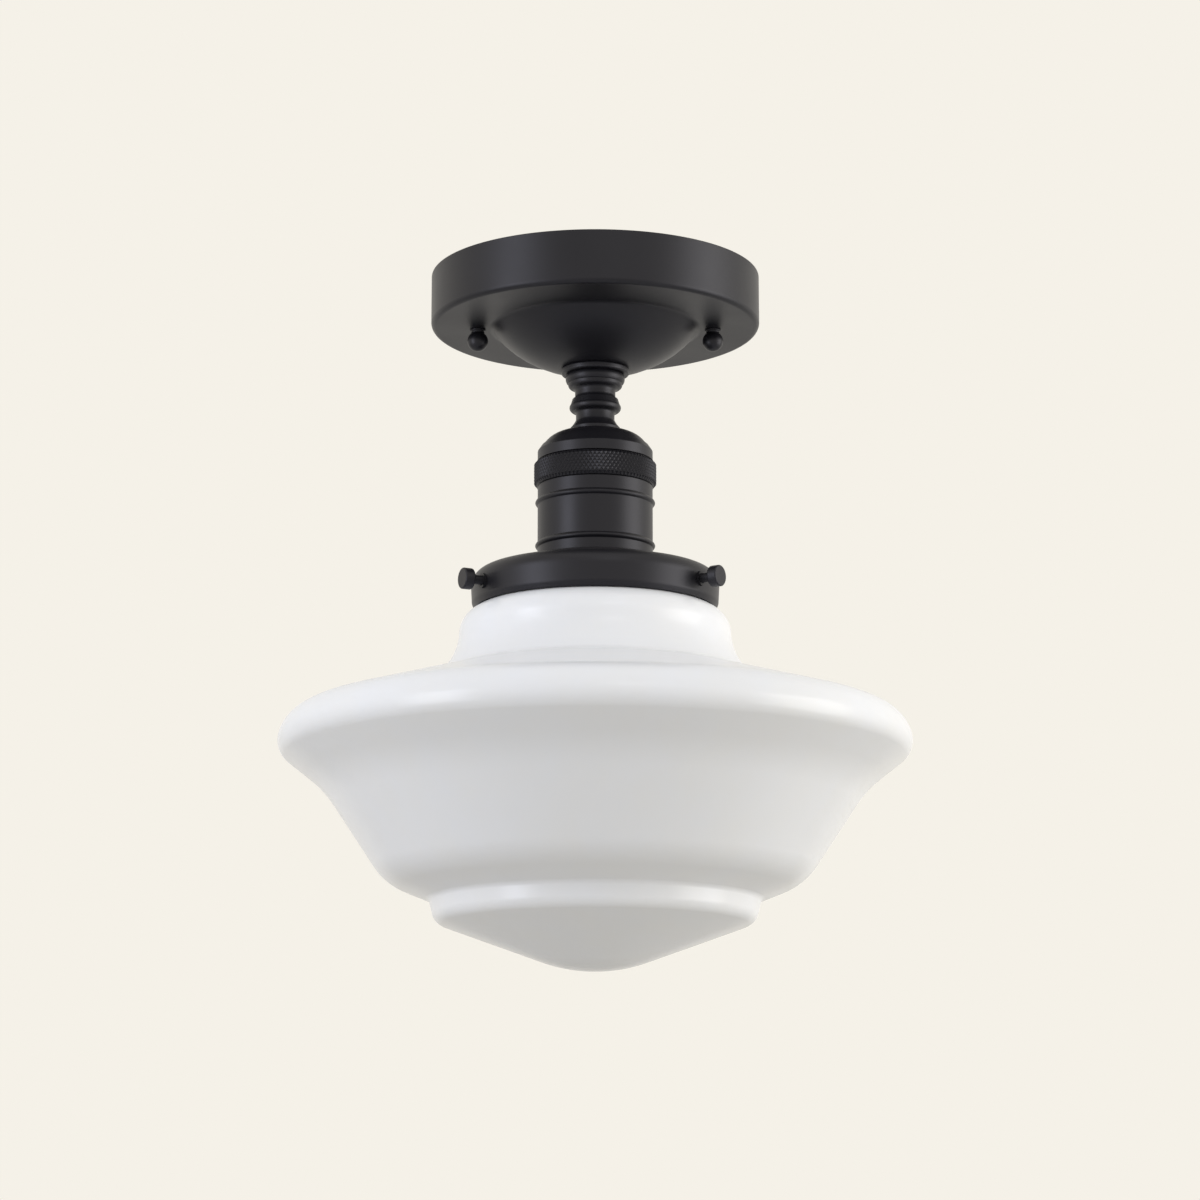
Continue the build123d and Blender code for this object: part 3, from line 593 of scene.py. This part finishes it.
def makeKnurledRing():
    # diamonds are drawn flat on the ring's root circle, raised to points and spun round
    k, high, low, crest = knurl, topOf("knurled_ring"), footOf("knurled_ring"), radiusOf("knurled_ring")
    root = crest - k["depth"]
    bandTop, bandFoot = high - k["land"], low + k["land"]
    rowHeight = (bandTop - bandFoot) / k["rows"]
    pitch = math.tau / k["round"]
    shape = bmesh.new()

    def corner(column, row):
        turned = Matrix.Rotation(column * pitch, 3, "Z") @ Vector((root * mm, 0, 0))
        return shape.verts.new((turned.x, turned.y, (bandFoot + row * rowHeight) * mm))

    for half in range(2 * k["rows"] + 1):
        column, row = half % 2 * 0.5, half / 2
        points = [(column, row - 0.5), (column + 0.5, row), (column, row + 0.5), (column - 0.5, row)]
        inside = [point for point in points if 0 <= point[1] <= k["rows"]]
        face = shape.faces.new([corner(*point) for point in inside])
        if len(inside) == len(points):
            face.normal_update()
            bmesh.ops.poke(shape, faces=[face], offset=k["depth"] * mm)
    bmesh.ops.spin(shape, geom=shape.verts[:] + shape.edges[:] + shape.faces[:], cent=(0, 0, 0),
                   axis=lightAxis, dvec=(0, 0, 0), angle=math.tau, steps=k["round"], use_duplicate=True)
    band = bpy.data.meshes.new("knurlBand")
    shape.to_mesh(band)
    shape.free()
    lathe = Lathe(root, bandTop)
    inner = radiusOf("socket_sleeve") - k["thickness"]
    shelf, edge = crest - k["landInset"], root - k["rootInset"]
    for radius, height in ((shelf, bandTop), (edge, high), (inner, high), (inner, low), (edge, low),
                           (shelf, bandFoot), (root, bandFoot)):
        lathe.cut(radius, height)
    ring = lathe.turned(2 * k["round"], closed=False)
    ring.from_mesh(band)
    bmesh.ops.remove_doubles(ring, verts=ring.verts, dist=k["mergeDistance"] * mm)
    for vertex in ring.verts:
        height = vertex.co.z / mm
        nearness = 1 - min(high - height, height - low) / k["leanHeight"]
        if nearness > 0 and vertex.co.xy.length > (edge + inner) / 2 * mm:
            vertex.co.xy -= vertex.co.xy.normalized() * k["lean"] * nearness ** 2 * mm
    bmesh.ops.recalc_face_normals(ring, faces=ring.faces)
    made = piece(ring, "knurledRing", "knurled_ring")
    made.modifiers.clear()
    made.data.set_sharp_from_angle(angle=math.radians(k["sharpAngle"]))


makeKnurledRing()

sleeve = {
    "wall": 1.2,
    "spigot": 20.45,
    "beads": (6.05, 22.45),   # drop of each rolled bead below the sleeve's shoulder
    "beadHeight": 2.0,
    "beadProud": 0.9,
    "beadRoot": 0.35,       # soft corner where a bead leaves the tube
    "beadSlope": 30,
    "cutEdge": 0.15,
    "facets": 144,
}


def makeSleeve():
    s = sleeve
    high, low, shoulder, rest = (topOf("socket_sleeve"), footOf("socket_sleeve"), footOf("knurled_ring"),
                                 topOf("fitter"))
    edge = radiusOf("socket_sleeve") - s["beadProud"]
    lathe = Lathe(s["spigot"], high)
    lathe.cut(s["spigot"], shoulder)
    lathe.cut(edge, shoulder)
    for drop in s["beads"]:
        middle = shoulder - drop
        half = s["beadHeight"] / 2
        lathe.cut(edge, middle + half + s["beadRoot"])
        lathe.leaving(edge + s["beadRoot"] / 2, middle + half, -90)
        lathe.leaving(edge + s["beadProud"], middle, -s["beadSlope"])
        lathe.arriving(edge + s["beadRoot"] / 2, middle - half, s["beadSlope"] - 180)
        lathe.arriving(edge, middle - half - s["beadRoot"], -90)
    lathe.cut(edge, rest)
    lathe.cut(s["spigot"], rest)
    lathe.cut(s["spigot"], low)
    shape = walled(lathe.turned(s["facets"], closed=False), s["wall"])
    piece(softened(shape, s["cutEdge"]), "socketSleeve", "socket_sleeve")


makeSleeve()
print("socket cap, knurled ring and sleeve made")


# Fitter and thumbscrews

fitter = {
    "bore": 20.6,
    "seat": 24.4,
    "shoulder": 46.5,
    "shoulderDrop": 5.7,
    "knee": 6.0,
    "skirt": 45.9,
    "curlHeight": 2.1,
    "rim": 44.6,
    "curl": 2.4,
    "wall": 1.0,
    "cutEdge": 0.25,
    "facets": 216,
}


def makeFitter():
    f, high, low = fitter, topOf("fitter"), footOf("fitter")
    lathe = Lathe(f["bore"], high)
    lathe.rounded([
        (f["seat"], high, f["knee"]),
        (f["shoulder"], high - f["shoulderDrop"], f["knee"]),
        (f["skirt"], low + f["curlHeight"], f["curl"]),
        (f["rim"], low, 0),
    ])
    shape = softened(walled(lathe.turned(f["facets"], closed=False), f["wall"]), f["cutEdge"])
    piece(shape, "glassFitter", "fitter")


makeFitter()

thumbscrew = {
    "shank": 1.75, "tipEdge": 0.4,
    "head": 3.95, "headHeight": 3.9, "chamfer": 0.6, "headRoot": 0.3,
    "facets": 48,
}


def makeThumbscrew(node):
    t = thumbscrew
    low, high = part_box(node)
    middle = Vector(((low.x + high.x) / 2, (low.y + high.y) / 2, 0))
    azimuth = math.atan2(middle.y, middle.x)
    points = [vertex.co for vertex in nodes[node].data.vertices]
    outward = middle.normalized()
    reaches = [point.dot(outward) / mm for point in points]
    tip, end = min(reaches), max(reaches)
    lathe = Lathe(0, end)
    lathe.rounded([
        (t["head"], end, t["chamfer"]),
        (t["head"], end - t["headHeight"], t["chamfer"]),
        (t["shank"], end - t["headHeight"], t["headRoot"]),
        (t["shank"], tip, t["tipEdge"]),
        (0, tip, 0),
    ])
    shape = lathe.turned(t["facets"])
    turned = Matrix.Rotation(azimuth, 4, "Z") @ Matrix.Rotation(math.pi / 2, 4, "Y")
    place = Matrix.Translation((0, 0, (low.z + high.z) / 2)) @ turned
    bmesh.ops.transform(shape, matrix=place, verts=shape.verts)
    piece(shape, node.replace("_", ""), node)


for name in sorted(nodes):
    if name.startswith("thumbscrew_") and name[-1].isdigit():
        makeThumbscrew(name)
print("fitter and thumbscrews made")


# Glass shade

glass = {
    "wall": 3.0,
    "lip": 40.55,
    "lipEdge": 1.1, "lipSegments": 4,   # rounding of the ground lip
    "lipLand": 1.2, "lipRoot": 1.0,
    "facets": 240,
    "fineness": 4.0,
    # radius, depth below the fitter's rim, rounding
    "neck": ((39.2, -8.65, 3.0), (39.2, -1.8, 3.0)),
    # then width, drop and rounding of each corner, from the one before it
    "corners": (
        (10.9, 4.3, 10.0),
        (0.7, 12.65, 22.0),
        (6.1, 9.7, 3.5),
        (57.3, 16.3, 13.0),
        (3.8, 11.8, 7.1),
        (-17.6, 13.9, 45.0),
        (-22.8, 34.4, 21.5),
        (-16.8, 6.9, 2.6),
        (-1.8, 8.0, 5.5),
        (-48.5, 17.85, 56.0),
        (-10.5, 0, 0),
    ),
}


def makeGlass():
    g, high, rim = glass, topOf("shade"), footOf("fitter")
    outline = [(g["lip"], high - g["lipLand"], g["lipRoot"])]
    outline += [(radius, rim - depth, curve) for radius, depth, curve in g["neck"]]
    for width, drop, curve in g["corners"]:
        radius, height = outline[-1][:2]
        outline.append((radius + width, height - drop, curve))
    lathe = Lathe(g["lip"], high, g["fineness"])
    lathe.rounded(outline)
    shape = walled(lathe.turned(g["facets"], closed=False), g["wall"])
    piece(softened(shape, g["lipEdge"], g["lipSegments"]), "opalShade", "shade")


makeGlass()
print("glass shade made")


# Room and light

room = {
    "backdrop": (0.913, 0.880, 0.807, 1),
    "ambient": (0.97, 0.98, 1.0, 1),
    "ambientStrength": 0.66,
    "floorBounce": (0.52, 0.50, 0.45, 1),
    "floorHeight": -2.4,
    "floorRadius": 9.0,
    "floorFacets": 96,
}
softboxes = {
    # azimuth and elevation as seen from the light, in degrees; distance and size in metres
    "leftBox": {
        "azimuth": -56, "elevation": 0, "distance": 1.7,
        "size": (0.6, 1.7), "power": 14.5, "tint": (0.88, 0.91, 1),
    },
    "rightBox": {
        "azimuth": 80, "elevation": 0, "distance": 1.7,
        "size": (1.15, 1.7), "power": 20, "tint": (1, 0.99, 0.97),
    },
    "window": {
        "azimuth": 14, "elevation": 36, "distance": 2.6,
        "size": (0.55, 0.3), "power": 2.6, "tint": (1, 1, 1),
    },
    "overhead": {
        "azimuth": 0, "elevation": 75, "distance": 2.0,
        "size": (1.6, 1.6), "power": 3, "tint": (1, 1, 1),
    },
}
aim = Vector((0, 0, -0.13))


def makeSoftbox(name, box):
    lamp = bpy.data.lights.new(name, "AREA")
    lamp.shape = "RECTANGLE"
    lamp.size, lamp.size_y = box["size"]
    lamp.energy = box["power"]
    lamp.color = box["tint"]
    made = bpy.data.objects.new(name, lamp)
    azimuth, elevation = math.radians(box["azimuth"]), math.radians(box["elevation"])
    outward = Vector((math.sin(azimuth) * math.cos(elevation), -math.cos(azimuth) * math.cos(elevation),
                      math.sin(elevation)))
    made.location = aim + outward * box["distance"]
    made.rotation_euler = outward.to_track_quat("Z", "Y").to_euler()
    made.visible_camera = False
    bpy.context.scene.collection.objects.link(made)


for name, box in softboxes.items():
    makeSoftbox(name, box)


def seenDirectly(tree):
    camera, glossy, transmitted = [tree.add("ShaderNodeLightPath", {}, {}, kind)
                                   for kind in ("Is Camera Ray", "Is Glossy Ray", "Is Transmission Ray")]
    clamped = {"operation": "ADD", "use_clamp": True}
    return tree.add("ShaderNodeMath", clamped, {0: camera + glossy, 1: transmitted})


def makeWorld():
    world = bpy.data.worlds.new("studio")
    bpy.context.scene.world = world
    tree = NodeTree(world)
    backdrop = tree.add("ShaderNodeBackground", {}, {"Color": room["backdrop"], "Strength": 1.0})
    ambient = tree.add("ShaderNodeBackground", {},
                       {"Color": room["ambient"], "Strength": room["ambientStrength"]})
    mixed = tree.add("ShaderNodeMixShader", {}, {0: seenDirectly(tree), 1: ambient, 2: backdrop})
    tree.add("ShaderNodeOutputWorld", {}, {"Surface": mixed})


makeWorld()


def paleFloor(tree):
    # the floor throws less light up on the object than it shows
    pale = tree.mixColour(tree.noise(1.5, 3), (0.88, 0.85, 0.79, 1), (0.92, 0.89, 0.83, 1))
    return {
        "Base Color": tree.mixColour(seenDirectly(tree), room["floorBounce"], pale),
        "Roughness": 0.8,
    }


def makeFloor():
    shape = bmesh.new()
    bmesh.ops.create_circle(shape, cap_ends=True, segments=room["floorFacets"], radius=room["floorRadius"])
    bmesh.ops.translate(shape, verts=shape.verts, vec=(0, 0, room["floorHeight"]))
    mesh = bpy.data.meshes.new("floor")
    shape.to_mesh(mesh)
    shape.free()
    mesh.materials.append(finish("paleFloor", paleFloor))
    floor = bpy.data.objects.new("floor", mesh)
    bpy.context.scene.collection.objects.link(floor)


makeFloor()

camera = {
    "pitch": 11.6,         # degrees that the view looks up
    "distance": 1.2884,
    "aimHeight": -0.12445,
    "aside": 0.0018,
    "lens": 103.8,
    "sensor": 36.0,
}


def makeCamera():
    c = camera
    lens = bpy.data.cameras.new("camera")
    lens.lens = c["lens"]
    lens.sensor_width = c["sensor"]
    made = bpy.data.objects.new("camera", lens)
    pitch = math.radians(c["pitch"])
    back, drop = c["distance"] * math.cos(pitch), c["distance"] * math.sin(pitch)
    made.location = (c["aside"], -back, c["aimHeight"] - drop)
    made.rotation_euler = (math.pi / 2 + pitch, 0, 0)
    bpy.context.scene.collection.objects.link(made)
    bpy.context.scene.camera = made


makeCamera()
bpy.context.scene.view_settings.view_transform = "Standard"
print("room, lights and camera ready")
